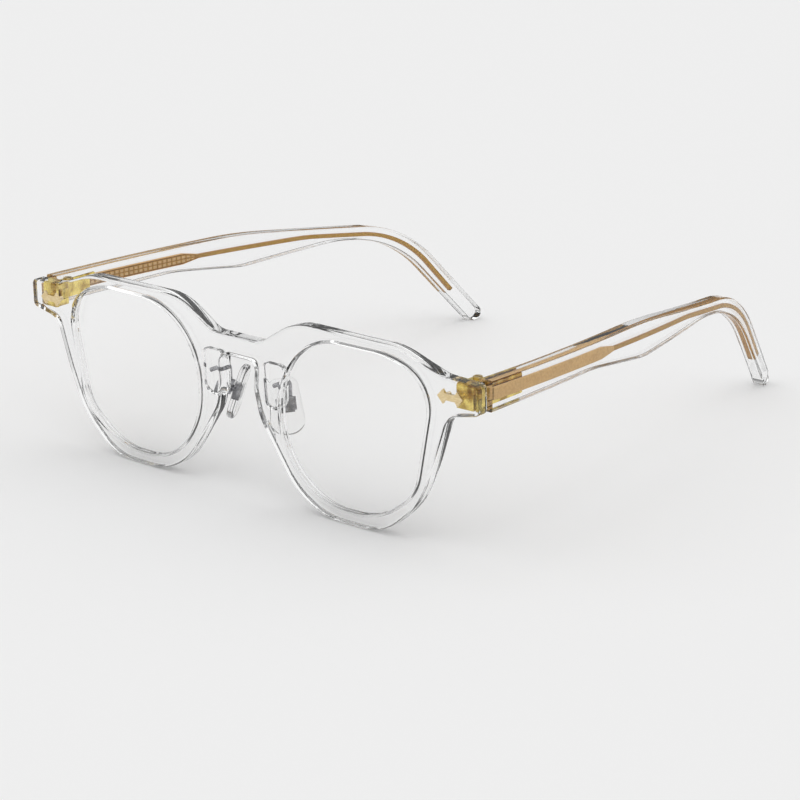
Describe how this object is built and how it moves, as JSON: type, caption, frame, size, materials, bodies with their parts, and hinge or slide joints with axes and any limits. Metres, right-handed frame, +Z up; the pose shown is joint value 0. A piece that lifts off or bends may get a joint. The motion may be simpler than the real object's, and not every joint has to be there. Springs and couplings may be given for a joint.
{
  "type": "eyeglasses",
  "caption": "Full-rim glasses with a clear acetate front and temples, gold-coloured temple cores, arrow-shaped hinge rivets and adjustable nose pads.",
  "frame": {"origin": "on the surface the glasses stand on, midway between the temples and midway from the front to the temple tips", "axes": "+X towards the wearer's left, +Y from the front back to the temple tips, +Z up"},
  "size_m": [0.138, 0.1432, 0.0439],
  "materials": {
    "acetate": "polished clear acetate",
    "lens": "coated clear lens with a faint warm tint",
    "gold": "pale gold plating",
    "steel": "dark polished metal",
    "screw": "gold-coloured screw",
    "pad": "clear moulded plastic"
  },
  "bodies": {
    "front": {"frame_front": "acetate", "lens_left": "lens", "lens_right": "lens", "hinge_front_leaf_left": "gold", "hinge_front_leaf_right": "gold", "hinge_screw_left": "screw", "hinge_screw_right": "screw", "arrow_rivet_left": "gold", "arrow_rivet_right": "gold", "nose_pad_arm_left": "steel", "nose_pad_arm_right": "steel", "nose_pad_box_left": "steel", "nose_pad_box_right": "steel", "nose_pad_screw_left": "steel", "nose_pad_screw_right": "steel"},
    "temple_assembly_left": {"temple_left": "acetate", "temple_core_left": "gold", "hinge_temple_leaf_left": "gold"},
    "temple_assembly_right": {"temple_right": "acetate", "temple_core_right": "gold", "hinge_temple_leaf_right": "gold"},
    "pad_assembly_left": {"nose_pad_left": "pad", "nose_pad_mount_left": "steel"},
    "pad_assembly_right": {"nose_pad_right": "pad", "nose_pad_mount_right": "steel"}
  },
  "joints": [
    {"name": "temple_left_fold", "type": "hinge", "parent": "front", "child": "temple_assembly_left", "pos_m": [0.0636, -0.0637, 0.0355], "axis": [0, 0, 1], "range_deg": [0, 83]},
    {"name": "temple_right_fold", "type": "hinge", "parent": "front", "child": "temple_assembly_right", "pos_m": [-0.0636, -0.0637, 0.0355], "axis": [0, 0, -1], "range_deg": [0, 75]},
    {"name": "nose_pad_left_rock", "type": "hinge", "parent": "front", "child": "pad_assembly_left", "pos_m": [0.01, -0.064, 0.0218], "axis": [0.5, 0.866, 0], "range_deg": [-8, 8]},
    {"name": "nose_pad_right_rock", "type": "hinge", "parent": "front", "child": "pad_assembly_right", "pos_m": [-0.01, -0.064, 0.0218], "axis": [-0.5, 0.866, 0], "range_deg": [-8, 8]}
  ]
}
